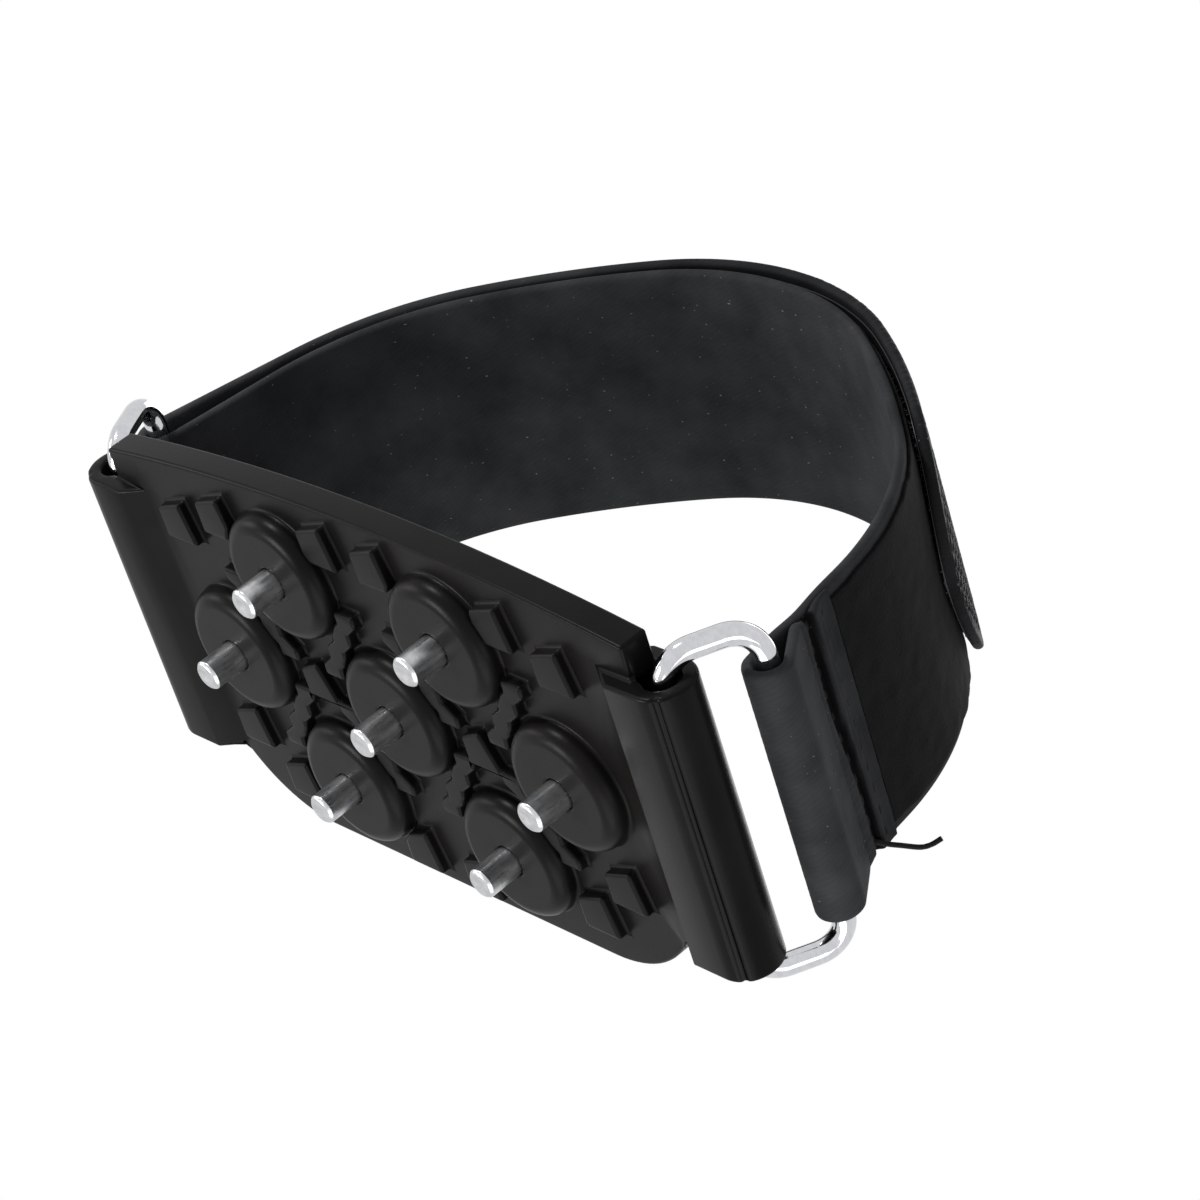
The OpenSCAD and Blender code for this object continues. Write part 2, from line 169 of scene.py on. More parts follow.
tail_parts = [arch(tip_angle, 180 - tail_lean, tail_off), [flip(tail_base)]]
fold_parts = [[flip(tail_base)], flip(arc(bar, loop_r, tail_lean, SIDE_LEAN - 180))]
print("in degrees: the tail leans", round(tail_lean, 1), "and its tip is at", round(tip_angle, 1))

# %% [markdown]
# ## The camera
# The picture looks up at the tread from in front of the toe, so the camera stands below the ground
# and is rolled: its up side points to the toe. A Track To constraint would aim it but not roll it,
# so its matrix is written directly. It keeps that viewpoint and is aimed at the middle of the
# object, with a long lens that fills the frame.

# %% Camera
CAMERA_AT = Vector((353.6, -265.3, -197.2)) * MM
CAMERA_UP = Vector((-0.300, -0.764, 0.572))
AIM_AT = Vector((8, -1.4, 33)) * MM
LENS = 124


def looking_at(place, target, up):
    """World matrix of a camera or lamp at a place, facing a target, with its top towards up."""
    back = (place - target).normalized()
    right = up.cross(back).normalized()
    matrix = Matrix((right, back.cross(right), back)).transposed().to_4x4()
    matrix.translation = place
    return matrix


camera_data = bpy.data.cameras.new("camera")
camera_data.lens = LENS
camera_data.sensor_width = 36
camera_data.clip_start = 0.01
camera = bpy.data.objects.new("camera", camera_data)
camera.matrix_world = looking_at(CAMERA_AT, AIM_AT, CAMERA_UP)
bpy.context.scene.collection.objects.link(camera)
bpy.context.scene.camera = camera
bpy.context.scene.view_settings.view_transform = "Standard"
print("camera is", round((CAMERA_AT - AIM_AT).length, 3), "m from the object")

# %% [markdown]
# ## Finishes
# Each finish is one Principled shader. Pictures could give it grain, but each piece would have to
# be unwrapped for them. Here, what is even all over is set on the shader itself, and what varies
# over the surface comes from noise and waves, in metres, so the grain has its real size.

# %% Finish helpers
def add(tree, kind, inputs, **options):
    """Adds a shader node. An input is a plain value or the output of another node."""
    made = tree.nodes.new(kind)
    for option, value in options.items():
        setattr(made, option, value)
    for socket, value in inputs.items():
        if isinstance(value, bpy.types.NodeSocket):
            tree.links.new(value, made.inputs[socket])
        else:
            made.inputs[socket].default_value = value
    return made.outputs[0]


def finish(name, **even):
    """A material whose even values sit on the shader's own sockets, such as sheen_weight=0.4."""
    material = bpy.data.materials.new(name)
    material.use_nodes = True
    shader = material.node_tree.nodes["Principled BSDF"]
    sockets = {socket.name.lower().replace(" ", "_"): socket for socket in shader.inputs}
    for socket, value in even.items():
        sockets[socket].default_value = value
    return material, material.node_tree, shader


def object_place(tree, stretch=(1, 1, 1)):
    """Places on the object in metres, stretched so that noise draws out along an axis."""
    place = tree.nodes.new("ShaderNodeTexCoord").outputs["Object"]
    return add(tree, "ShaderNodeMapping", {"Vector": place, "Scale": stretch})


def noise(tree, place, size, detail=3):
    return add(tree, "ShaderNodeTexNoise", {"Vector": place, "Scale": 1 / size, "Detail": detail})


def shades(tree, factor, dark, light, low=0.3, high=0.7):
    """A colour that runs from dark to light as the factor does."""
    ramp = tree.nodes.new("ShaderNodeValToRGB")
    tree.links.new(factor, ramp.inputs[0])
    for stop, place, colour in zip(ramp.color_ramp.elements, (low, high), (dark, light)):
        stop.position = place
        stop.color = (*colour, 1)
    return ramp.outputs[0]


def spread(tree, factor, low, high, start=0.25, stop=0.75):
    """A number that runs from low to high as the factor goes from start to stop."""
    values = {"Value": factor, "From Min": start, "From Max": stop, "To Min": low, "To Max": high}
    return add(tree, "ShaderNodeMapRange", values)


def bump(tree, height, depth, strength=1.0, under=None):
    inputs = {"Height": height, "Distance": depth, "Strength": strength}
    if under is not None:
        inputs["Normal"] = under
    return add(tree, "ShaderNodeBump", inputs)


print("noise with a grain of 0.5 mm has a scale of", round(1 / (0.5 * MM)))

# %% [markdown]
# ### Rubber
# The plate is moulded rubber: black, satin and cloudy, because rubber blooms as it ages. A picture
# of rubber could be wrapped round it, but noise has no seams and keeps its scale. One slow noise
# drives both the colour and the gloss, since bloom changes both, and a fine one roughens the skin.

# %% Rubber
def rubber_finish():
    """Satin black moulded rubber: fine grain, a cloudy bloom and a warm cast."""
    material, tree, shader = finish("moulded_rubber", specular_ior_level=0.06)
    place = object_place(tree)
    cloud = noise(tree, place, 12 * MM, 4)
    grain = noise(tree, place, 0.45 * MM, 4)
    colour = shades(tree, cloud, (0.0036, 0.0033, 0.0032), (0.0074, 0.0068, 0.0064))
    tree.links.new(colour, shader.inputs["Base Color"])
    tree.links.new(spread(tree, cloud, 0.29, 0.37), shader.inputs["Roughness"])
    tree.links.new(bump(tree, grain, 0.03 * MM, 0.4), shader.inputs["Normal"])
    return material


RUBBER = rubber_finish()
print(RUBBER.name, "has", len(RUBBER.node_tree.nodes), "shader nodes")

# %% [markdown]
# ### Metals
# The studs are plated with zinc and the rings are polished nickel wire. What bare metal shows is
# mostly what it mirrors, so the colours stay nearly even. Anisotropy could draw out the highlights,
# but noise that is stretched along the shank or the wire does it with no tangents to look after. It
# makes the streaks, and shallow bumps stand for wear.

# %% Metals
def zinc_finish():
    """Bright zinc on the studs, with streaks along the shank and a slightly battered face."""
    material, tree, shader = finish("zinc_plate", metallic=1.0)
    streak = noise(tree, object_place(tree, (1, 1, 0.1)), 0.3 * MM, 2)
    patch = noise(tree, object_place(tree), 1.1 * MM, 3)
    colour = shades(tree, patch, (0.42, 0.43, 0.44), (0.56, 0.57, 0.58))
    tree.links.new(colour, shader.inputs["Base Color"])
    tree.links.new(spread(tree, streak, 0.25, 0.35), shader.inputs["Roughness"])
    worn = bump(tree, patch, 0.06 * MM, 0.4)
    tree.links.new(bump(tree, streak, 0.01 * MM, 0.3, worn), shader.inputs["Normal"])
    return material


def nickel_finish():
    """Polished nickel on the ring wire, with faint drawing marks."""
    material, tree, shader = finish("polished_nickel", metallic=1.0)
    mark = noise(tree, object_place(tree, (1, 0.12, 1)), 0.5 * MM, 3)
    colour = shades(tree, mark, (0.54, 0.55, 0.57), (0.62, 0.63, 0.65))
    tree.links.new(colour, shader.inputs["Base Color"])
    tree.links.new(spread(tree, mark, 0.05, 0.12), shader.inputs["Roughness"])
    tree.links.new(bump(tree, mark, 0.01 * MM, 0.3), shader.inputs["Normal"])
    return material


ZINC, NICKEL = zinc_finish(), nickel_finish()
print("metals:", ZINC.name, "and", NICKEL.name)

# %% [markdown]
# ### Webbing
# The strap is black woven webbing, and one finish serves all of it. The weave could be modelled
# thread by thread, but at half a millimetre a wave with some noise in it looks the same and stays
# light. It makes the fine slanting ticks, and a few pale fibres have caught in the cloth. Where the
# cloth was pressed it is blacker and smoother, and in the seam's groove the black is painted shade.
# The mesh says where: a number called pressed sits on its points.

# %% Cloth helpers
def strap_place(tree, turn=0, stretch=(1, 1, 1)):
    """Places on the webbing in metres: along it, then across it."""
    place = tree.nodes.new("ShaderNodeTexCoord").outputs["UV"]
    inputs = {"Vector": place, "Rotation": (0, 0, turn), "Scale": stretch}
    return add(tree, "ShaderNodeMapping", inputs)


def blend_numbers(tree, first, second, share):
    """A number that is mostly the first, with a share of the second."""
    part = add(tree, "ShaderNodeMath", {0: second, 1: share}, operation="MULTIPLY")
    return add(tree, "ShaderNodeMath", {0: first, 1: 1 - share, 2: part}, operation="MULTIPLY_ADD")


def tint(tree, colour, other, how):
    """Two colours added or multiplied."""
    return add(tree, "ShaderNodeVectorMath", {0: colour, 1: other}, operation=how)


print("places across the strap run to", round(STRAP_W / 2, 4), "m on each side")

# %% Webbing finish
WAVE_PITCH = 0.31           # pitch in metres of a wave texture whose scale is 1
TICK_PITCH = 0.62 * MM
TICK_SLANT = math.radians(62)
LINT_SLANT = math.radians(20)


def webbing_finish():
    """Black webbing with slanting ticks and stray fibres, blacker and smoother where pressed, and
    with painted shade in the seam's groove.
    """
    material, tree, shader = finish(
        "black_webbing", sheen_weight=0.015, sheen_roughness=0.45, specular_ior_level=0.02
    )
    pressed = add(tree, "ShaderNodeAttribute", {}, attribute_name="pressed")
    slanted = strap_place(tree, TICK_SLANT)
    ticks = {"Vector": slanted, "Scale": WAVE_PITCH / TICK_PITCH, "Distortion": 6.0, "Detail": 2.0}
    yarn = noise(tree, strap_place(tree, 0, (0.25, 1, 1)), 0.4 * MM, 3)
    twill = blend_numbers(tree, add(tree, "ShaderNodeTexWave", ticks), yarn, 0.65)
    cloud = noise(tree, strap_place(tree), 8 * MM, 3)
    lint = noise(tree, strap_place(tree, LINT_SLANT, (0.6, 1, 1)), 0.45 * MM, 1)
    woven = blend_numbers(tree, cloud, twill, 0.12)
    cloth = shades(tree, woven, (0.0310, 0.0326, 0.0347), (0.0640, 0.0665, 0.0702))
    # Painted shade: the seam's groove gets a darker colour, beside the real blacker colour of
    # pressed cloth.
    dark_pressed_and_painted_shade = shades(tree, pressed, (1, 1, 1), (0.05, 0.05, 0.05), 0, 1)
    cloth = tint(tree, cloth, dark_pressed_and_painted_shade, "MULTIPLY")
    fibres = shades(tree, lint, (0, 0, 0), (0.17, 0.17, 0.18), 0.745, 0.79)
    cloth = tint(tree, cloth, fibres, "ADD")
    tree.links.new(cloth, shader.inputs["Base Color"])
    tree.links.new(spread(tree, pressed, 0.68, 0.56, 0, 0.6), shader.inputs["Roughness"])
    fine = bump(tree, yarn, 0.03 * MM, 0.5)
    tree.links.new(bump(tree, twill, 0.03 * MM, 0.6, fine), shader.inputs["Normal"])
    return material


WEBBING = webbing_finish()
print(WEBBING.name, "has", len(WEBBING.node_tree.nodes), "shader nodes")

# %% [markdown]
# ### Tapes and thread
# The loop tape is brushed to a dull pile, the hook tape is smooth nylon and the thread is twisted.
# All three are black, and what tells them apart is how they take the light. A fabric shader could
# be built for each, but the Principled shader has what they need: no shine and a little sheen for
# the pile, shine for the nylon, and bumps where fibres stand up.

# %% Tape and thread finishes
def pile_finish():
    """Brushed loop pile: the darkest cloth, cloudy and with no shine."""
    material, tree, shader = finish(
        "loop_pile", roughness=0.92, sheen_weight=0.04, sheen_roughness=0.6, specular_ior_level=0.05
    )
    loops = noise(tree, strap_place(tree), 0.4 * MM, 4)
    cloud = noise(tree, strap_place(tree), 5 * MM, 3)
    mixed = blend_numbers(tree, cloud, loops, 0.4)
    colour = shades(tree, mixed, (0.0024, 0.0028, 0.0029), (0.0080, 0.0087, 0.0090))
    tree.links.new(colour, shader.inputs["Base Color"])
    tree.links.new(bump(tree, loops, 0.12 * MM, 0.7), shader.inputs["Normal"])
    return material


def hook_finish():
    """Smooth nylon of the hook tape."""
    material, tree, shader = finish("hook_nylon", specular_ior_level=0.4)
    cloud = noise(tree, object_place(tree), 3 * MM, 3)
    colour = shades(tree, cloud, (0.006, 0.006, 0.007), (0.012, 0.012, 0.013))
    tree.links.new(colour, shader.inputs["Base Color"])
    tree.links.new(spread(tree, cloud, 0.28, 0.42), shader.inputs["Roughness"])
    return material


def thread_finish():
    """Twisted black sewing thread."""
    material, tree, shader = finish(
        "sewing_thread", roughness=0.6, sheen_weight=0.03, specular_ior_level=0.12
    )
    twist = noise(tree, object_place(tree), 0.25 * MM, 2)
    colour = shades(tree, twist, (0.0025, 0.0025, 0.0030), (0.0080, 0.0080, 0.0088))
    tree.links.new(colour, shader.inputs["Base Color"])
    tree.links.new(bump(tree, twist, 0.08 * MM, 0.8), shader.inputs["Normal"])
    return material


PILE, HOOKS, THREAD = pile_finish(), hook_finish(), thread_finish()
print("finishes:", [material.name for material in bpy.data.materials])

# %% [markdown]
# ## The plate, the studs and the rings
# The moulded plate carries the studs, and the sleeves at its ends hold the wire rings. These solids
# stay. Rubber from a mould and cut steel have no sharp corners, so a bevel that only takes real
# corners softens each edge. A subdivision surface would round them too, but it would shrink the
# small cleats. The frame's meshes are split along their edges, and a bevel finds no edge there, so
# a weld comes first. Weighted normals then keep the flats flat beside the rounded edges. Loop slide
# is off: it would drag corners along the slanting edges between the triangles.

# %% Dress the solids
WELD_REACH = 0.001 * MM
CORNER_ANGLE = math.radians(35)     # a bevel takes edges that turn by more than this
PLATE_EDGE = 0.45 * MM
STUD_EDGE = 0.08 * MM
WIRE_EDGE = 0.02 * MM


def dress(name, material, edge, segments=3):
    """Gives a solid its finish and rounds its corners by the width of edge."""
    piece = nodes[name]
    piece.data.materials.clear()
    piece.data.materials.append(material)
    piece.modifiers.new("joined", "WELD").merge_threshold = WELD_REACH
    bevel = piece.modifiers.new("rounded_edges", "BEVEL")
    bevel.width = edge
    bevel.segments = segments
    bevel.limit_method = "ANGLE"
    bevel.angle_limit = CORNER_ANGLE
    bevel.use_clamp_overlap = False
    bevel.loop_slide = False
    piece.modifiers.new("flat_faces", "WEIGHTED_NORMAL").weight = 80
    return piece


dressed = [dress("tread_plate", RUBBER, PLATE_EDGE)]
for name in nodes:
    if name.startswith("stud_"):
        dressed.append(dress(name, ZINC, STUD_EDGE, 2))
    if name.endswith("_ring"):
        dressed.append(dress(name, NICKEL, WIRE_EDGE, 1))
print("dressed solids:", len(dressed))

# %% [markdown]
# ## Webbing as ribbons
# A strap is a ribbon: a thin section with round selvedges, swept along the route. Subdividing a
# plane and bending it would also work, but sweeping rows of points gives full control of the relief
# on both faces. Relief is real geometry: it moves points along the normal of the ribbon.

# %% Ribbon builder
EDGE_TURN = np.radians([60, 30, 0, -30, -60])   # places round a selvedge, from its outer side
SHARP_ANGLE = math.radians(50)


def make_piece(name, verts, faces, material, uv=None, pressed=None):
    """A mesh object from points and faces, shaded smooth except at corners."""
    mesh = bpy.data.meshes.new(name)
    mesh.from_pydata(np.asarray(verts).tolist(), [], faces)
    mesh.materials.append(material)
    if uv is not None:
        corner = np.empty(len(mesh.loops), dtype=np.int32)
        mesh.loops.foreach_get("vertex_index", corner)
        layer = mesh.uv_layers.new(name="strap")
        layer.data.foreach_set("uv", np.asarray(uv, dtype=np.float32)[corner].ravel())
    if pressed is not None:
        mesh.attributes.new("pressed", "FLOAT", "POINT").data.foreach_set("value", np.ravel(pressed))
    mesh.polygons.foreach_set("use_smooth", [True] * len(mesh.polygons))
    mesh.set_sharp_from_angle(angle=SHARP_ANGLE)
    mesh.validate()
    piece = bpy.data.objects.new(name, mesh)
    bpy.context.scene.collection.objects.link(piece)
    return piece


def ribbon(name, route, half_width, thick, outer, inner, columns, material, pressed=None):
    """Sweeps a thin section with round edges along a route.

    half_width is one number per station, and thick may be. outer and inner are relief in metres, one
    per station and column, and the round edges follow it. pressed says in the same way how
    far the cloth is darker and smoother, from 0 to 1: pressed cloth, and painted shade in a groove.
    """
    along, middle, normal = route
    half = np.broadcast_to(thick, len(along))[:, None] / 2
    flat = np.maximum(half_width[:, None] - half, half * 0.05)
    across = flat * np.linspace(-1, 1, columns)
    turn_y = flat + half * np.cos(EDGE_TURN)
    above, below = half + outer, -half - inner
    y = np.concatenate([across, turn_y, across[:, ::-1], -turn_y[:, ::-1]], axis=1)
    rims = [
        (above[:, k, None] + below[:, k, None] + (above - below)[:, k, None] * np.sin(EDGE_TURN)) / 2
        for k in (-1, 0)
    ]
    off = np.concatenate([above, rims[0], below[:, ::-1], rims[1][:, ::-1]], axis=1)
    ring = y.shape[1]
    x = middle[:, :1] + normal[:, :1] * off
    z = middle[:, 1:] + normal[:, 1:] * off
    verts = np.stack([x, y, z], axis=2).reshape(-1, 3)
    start = np.arange(len(along) - 1)[:, None] * ring
    here = np.arange(ring)
    after = (here + 1) % ring
    corners = [start + here, start + after, start + ring + after, start + ring + here]
    quads = np.stack(corners, axis=2)
    faces = quads.reshape(-1, 4).tolist()
    faces += [list(range(ring))[::-1], list(range(len(verts) - ring, len(verts)))]
    uv = np.stack([np.repeat(along, ring), y.ravel()], axis=1)
    if pressed is not None:
        edges = [np.repeat(pressed[:, k, None], len(EDGE_TURN), axis=1) for k in (-1, 0)]
        pressed = np.concatenate([pressed, edges[0], pressed[:, ::-1], edges[1]], axis=1)
    return make_piece(name, verts, faces, material, uv, pressed)


print("a ribbon has", len(EDGE_TURN), "points round each of its edges")

# %% [markdown]
# ### The strap and its sewn loop
# At the anchor ring the webbing is folded to the outside and sewn down. The lower row of stitches
# pulls a deep groove into the cloth, from edge to edge, and the strap is narrower there. Between
# that groove and the raw end, which is melted to a thin bead, the cloth is pressed thin and crushed
# to fine lines. A cloth simulation could gather the seam, but it would fall where it likes. So all
# of this is relief on one ribbon that starts at the raw end: its inner face is the outside of the
# hem and, further on, the inside of the strap.

# %% Stations and relief
def stations(parts, step, fine=None):
    """Steps along joined points: distance, middle of the webbing, and its right-hand normal.

    fine is a length and a step: over that first stretch the stations stand closer.
    """
    points = np.concatenate(parts)
    keep = np.append(True, np.linalg.norm(np.diff(points, axis=0), axis=1) > 1e-7)
    points = points[keep]
    along = np.append(0, np.cumsum(np.linalg.norm(np.diff(points, axis=0), axis=1)))
    first, close = fine or (0, step)
    head = np.arange(0, first, close)
    pick = np.append(head, np.linspace(first, along[-1], int((along[-1] - first) / step) + 1))
    middle = np.stack([np.interp(pick, along, points[:, k]) for k in (0, 1)], axis=1)
    heading = np.gradient(middle, axis=0)
    heading /= np.linalg.norm(heading, axis=1)[:, None]
    normal = np.stack([heading[:, 1], -heading[:, 0]], axis=1)
    return pick, middle, normal


def bell(distance, width):
    """A smooth hump of height 1 that fades over about the width."""
    return np.exp(-((distance / width) ** 2))


def fade(value, start, stop):
    """Runs smoothly from 0 at start to 1 at stop."""
    t = np.clip((value - start) / (stop - start), 0, 1)
    return t * t * (3 - 2 * t)


def fuzz(rows, columns, seed, smooth=1):
    """Even random relief between about -1 and 1, softened over neighbours."""
    field = np.random.default_rng(seed).normal(size=(rows, columns))
    for _ in range(smooth):
        field = (field + np.roll(field, 1, 0) + np.roll(field, -1, 0)) / 3
        field = (field + np.roll(field, 1, 1) + np.roll(field, -1, 1)) / 3
    return field / np.abs(field).max()


print("half way a fade is", fade(0.5, 0, 1), "and at its width a bell is", round(bell(1, 1), 2))

# %% Hem sizes
SEAM_MID = HEM_RISE + HEM_FLAT / 2
SEAM_ROWS = 2.6 * MM        # distance between the two rows of stitches
STITCH_PITCH = 3.1 * MM
PULL_IN = 0.8 * MM          # how much narrower the strap is at the groove, on each side
GROOVE = 0.85 * MM          # depth of the groove
GROOVE_WALL = 0.4 * MM, 1.0 * MM    # where its wall starts and ends, from its middle
GROOVE_PAINTED_SHADE = 0.7 * MM, 1.1 * MM    # where the painted shade on its cloth starts to fade and ends
PUFF = 0.04 * MM            # swelling of the loop beside the groove
PUCKER = 0.045 * MM         # gathers that the groove draws into the loop
PUCKER_PITCH = 1.05 * MM
BEAD = 0.16 * MM            # height of the melted bead
CRUSH = 0.05 * MM           # depth of the crushed lines
CRUSH_PITCH = 1.0 * MM
FLATTEN = 0.8 * MM          # how much thinner the cloth is at the raw end
SKEW = 0.8 * MM             # the lower row of stitches climbs by this much towards the heel
SEAM_WAVER = 0.15 * MM      # and wavers by this much on the way
RUN_DENT = 0.2 * MM         # dents that the stitches press into the inside of the strap
STRIP_DARKER_SMOOTHER = 0.38        # how much darker and smoother the hem is above the groove
INSIDE_WORN = 0.3           # how far the foot has worn the inside smooth
WEAVE = 0.03 * MM           # roughness of the woven faces
SELVEDGE = 1.5 * MM         # relief dies out over this distance from an edge
EDGE_WAVE = 0.12 * MM       # how far the edges wave, and how much narrower the strap is for it
COLUMN = 0.3 * MM           # distance between the points across the strap
BODY_STEP = 0.8 * MM        # distance between the points along it
HEM_FINE = 26 * MM, 0.28 * MM       # length from the raw end with closer points, and their distance

body_route = stations(body_parts, BODY_STEP, HEM_FINE)
body_columns = int(STRAP_W / COLUMN)
along = body_route[0]
foot_station = along[np.argmin(np.linalg.norm(body_route[1] - strap_foot, axis=1))]
hem_lower = HEM_RISE + HEM_FLAT - SEAM_MID + SEAM_ROWS / 2
run_lower = foot_station + SEAM_MID - SEAM_ROWS / 2
run_upper = foot_station + SEAM_MID + SEAM_ROWS / 2
column_y = np.linspace(-1, 1, body_columns) * STRAP_W / 2
inside_edge = fade(STRAP_W / 2 - np.abs(column_y), 0, SELVEDGE)


def climb(y):
    """How far the groove has drifted up the strap at a place across it."""
    return SKEW * fade(y, -STRAP_W / 4, STRAP_W / 2) + SEAM_WAVER * np.sin(y / (4.1 * MM))


past_groove = along[:, None] - hem_lower + climb(column_y)
print("groove is", round(hem_lower / MM, 2), "mm from the raw end")
print("strap has", len(along), "rows of", body_columns, "columns on each face")

# %% Strap body
groove = 1 - fade(np.abs(past_groove), *GROOVE_WALL)
stitch_waves = np.cos(2 * math.pi * column_y / STITCH_PITCH)
gathers = np.sin(2 * math.pi * column_y / PUCKER_PITCH)
pucker = 0.7 * stitch_waves + 0.9 * gathers
wander = 1.5 * fuzz(len(along), body_columns, 4, 3)
crushed = np.sin(2 * math.pi * along[:, None] / CRUSH_PITCH + wander)
hem_relief = (
    PUFF * bell(past_groove - 2.4 * MM, 1.7 * MM)
    + PUCKER * bell(past_groove - 2.0 * MM, 1.8 * MM) * pucker
    + BEAD * bell(along[:, None], 0.35 * MM)
    + CRUSH * crushed * fade(-past_groove, 0.4 * MM, 1.2 * MM)
)
run_relief = -RUN_DENT * (bell(along - run_lower, 0.8 * MM) + bell(along - run_upper, 0.8 * MM))
half_width = STRAP_W / 2 - PULL_IN * bell(along - hem_lower, 1.5 * MM)
half_width -= 0.4 * PULL_IN * bell(along - run_lower, 3 * MM)
half_width += EDGE_WAVE * np.sin(along / (17 * MM)) - EDGE_WAVE
weave = WEAVE * fuzz(len(along), body_columns, 3, 0) * inside_edge
inner_relief = (hem_relief + run_relief[:, None]) * inside_edge - GROOVE * groove + weave

worn = INSIDE_WORN * fade(along, foot_station + 15 * MM, foot_station + 50 * MM)
worn *= 1 - fade(along, along[-1] - 45 * MM, along[-1] - 10 * MM)
# Painted shade: the cloth in the groove is given a darker colour.
pressed = 1 - fade(np.abs(past_groove), *GROOVE_PAINTED_SHADE)
pressed = np.maximum(pressed, STRIP_DARKER_SMOOTHER * fade(-past_groove, 0, MM))
pressed = np.maximum(pressed, worn[:, None])

thin = FLATTEN * fade(hem_lower - along, 0, 4 * MM)
flattened = (along, body_route[1] + body_route[2] * thin[:, None] / 2, body_route[2])
strap = ribbon(
    "strap_webbing", flattened, half_width, WEB_T - thin, weave, inner_relief,
    body_columns, WEBBING, pressed,
)
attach(strap, "strap")
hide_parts("strap_body")
print("strap is", round(along[-1] / MM), "mm long, with", len(strap.data.vertices), "points")

# %% [markdown]
# ### The fold round the slip ring
# Here the webbing turns round the slip ring's bar and comes back as the tail. The turn belongs to
# the strap at one end and to the tail at the other. Riding on either alone would tear it off the
# other when the tail is peeled open, so it is built as a ribbon of its own and rides on neither.

# %% Fold
FOLD_STEP = 0.5 * MM

fold_route = stations(fold_parts, FOLD_STEP)
fold_half = np.full(len(fold_route[0]), STRAP_W / 2 - EDGE_WAVE)
fold_relief = WEAVE * fuzz(len(fold_half), body_columns, 5, 0) * inside_edge
fold = ribbon(
    "strap_turn", fold_route, fold_half, WEB_T, fold_relief, fold_relief,
    body_columns, WEBBING,
)
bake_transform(fold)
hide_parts("strap_fold")
print("fold has", len(fold.data.vertices), "points")

# %% [markdown]
# ### The tail
# Under the end of the tail the hook tape is bonded on, and the bond prints a grid of small diamonds
# through to the outside. A bump in the finish would be lighter, but it leaves the outline smooth,
# so two sets of slanting grooves are cut as relief. They fade out at the selvedges and where the
# tape ends, and above them only a few raised dots are left. The cut round the tip is ragged.

# %% Tail outline
TIP_EASE = 1.3 * MM         # how much the tip's radius exceeds half of the strap's width
TIP_R = STRAP_W / 2 + TIP_EASE
TIP_BLUNT = 0.1 * MM        # the round starts this far in, so that the first row has some width
RAGGED = 0.14 * MM
RAGGED_TO = 40 * MM, 60 * MM        # the ragged cut fades out between these places
TAIL_STEP = 0.34 * MM       # distance between the points of the tail, both ways


def tip_outline(along):
    """Half of the strap's width along the tail, round at the tip."""
    from_round = np.clip(TIP_R - along, 0, TIP_R - TIP_BLUNT)
    return np.minimum(np.sqrt(TIP_R**2 - from_round**2), STRAP_W / 2)


tail_route = stations(tail_parts, TAIL_STEP)
tail_columns = int(STRAP_W / TAIL_STEP)
along = tail_route[0]
tail_half = tip_outline(along) - EDGE_WAVE
tail_half += RAGGED * fuzz(len(along), 1, 17, 0)[:, 0] * (1 - fade(along, *RAGGED_TO))
tail_y = tail_half[:, None] * np.linspace(-1, 1, tail_columns)
to_edge = tail_half[:, None] - np.abs(tail_y)
print("tail is", round(along[-1] / MM), "mm long, in", len(along), "rows")

# %% Tail relief
GRID_PITCH = 1.9 * MM
GRID_DEPTH = 0.34 * MM
GRID_LEN = 58 * MM
GRID_SLANT = 38             # degrees from across the strap
GRID_MARGIN = 3.2 * MM      # the grid is whole at this distance from the edges
TIP_GRID = 5 * MM           # over this length at the tip it runs out to the edges
DOT_PITCH = 3.2 * MM
DOT_R = 0.5 * MM
DOT_RISE = 0.14 * MM
DOT_SHARE = 0.3             # share of the places that hold a dot
DOT_RUN = 40 * MM           # how far the dots go on past the grid
DOT_PLACES = 200, 40        # rows and columns of the lattice
TAIL_PRESSED = 0.66         # how far the tail is pressed smooth

slant = math.radians(GRID_SLANT)
steep = along[:, None] * math.cos(slant)
groove_a = np.abs(np.sin(math.pi * (steep + tail_y * math.sin(slant)) / GRID_PITCH))
groove_b = np.abs(np.sin(math.pi * (steep - tail_y * math.sin(slant)) / GRID_PITCH))
cells = fade(groove_a, 0.05, 0.75) * (0.35 + 0.65 * fade(groove_b, 0.05, 0.75))
on_tape = (1 - fade(along, 0.75 * GRID_LEN, GRID_LEN))[:, None]
at_tip = (1 - fade(along, 0, TIP_GRID))[:, None]
grid_here = fade(to_edge, 0.3 * GRID_MARGIN, GRID_MARGIN) * on_tape
grid_here = np.maximum(grid_here, 0.8 * at_tip * fade(to_edge, 0, 0.8 * MM))
uneven = 1 + 0.35 * fuzz(len(along), tail_columns, 11, 4)
tail_relief = GRID_DEPTH * grid_here * (cells - 0.8) * uneven


def raised_dots():
    """Stray dots past the grid: some places of a lattice, in random choice."""
    row, column = np.rint(along[:, None] / DOT_PITCH), np.rint(tail_y / DOT_PITCH)
    reach = np.hypot(along[:, None] - row * DOT_PITCH, tail_y - column * DOT_PITCH)
    places = np.random.default_rng(23).random(DOT_PLACES) < DOT_SHARE
    row = row.astype(int) + np.zeros_like(column, dtype=int)
    chosen = places[row, column.astype(int) + DOT_PLACES[1] // 2]
    here = fade(along, 0.8 * GRID_LEN, GRID_LEN) * (1 - fade(along, GRID_LEN, GRID_LEN + DOT_RUN))
    return bell(reach, DOT_R) * chosen * here[:, None] * fade(to_edge, 1 * MM, 3 * MM)


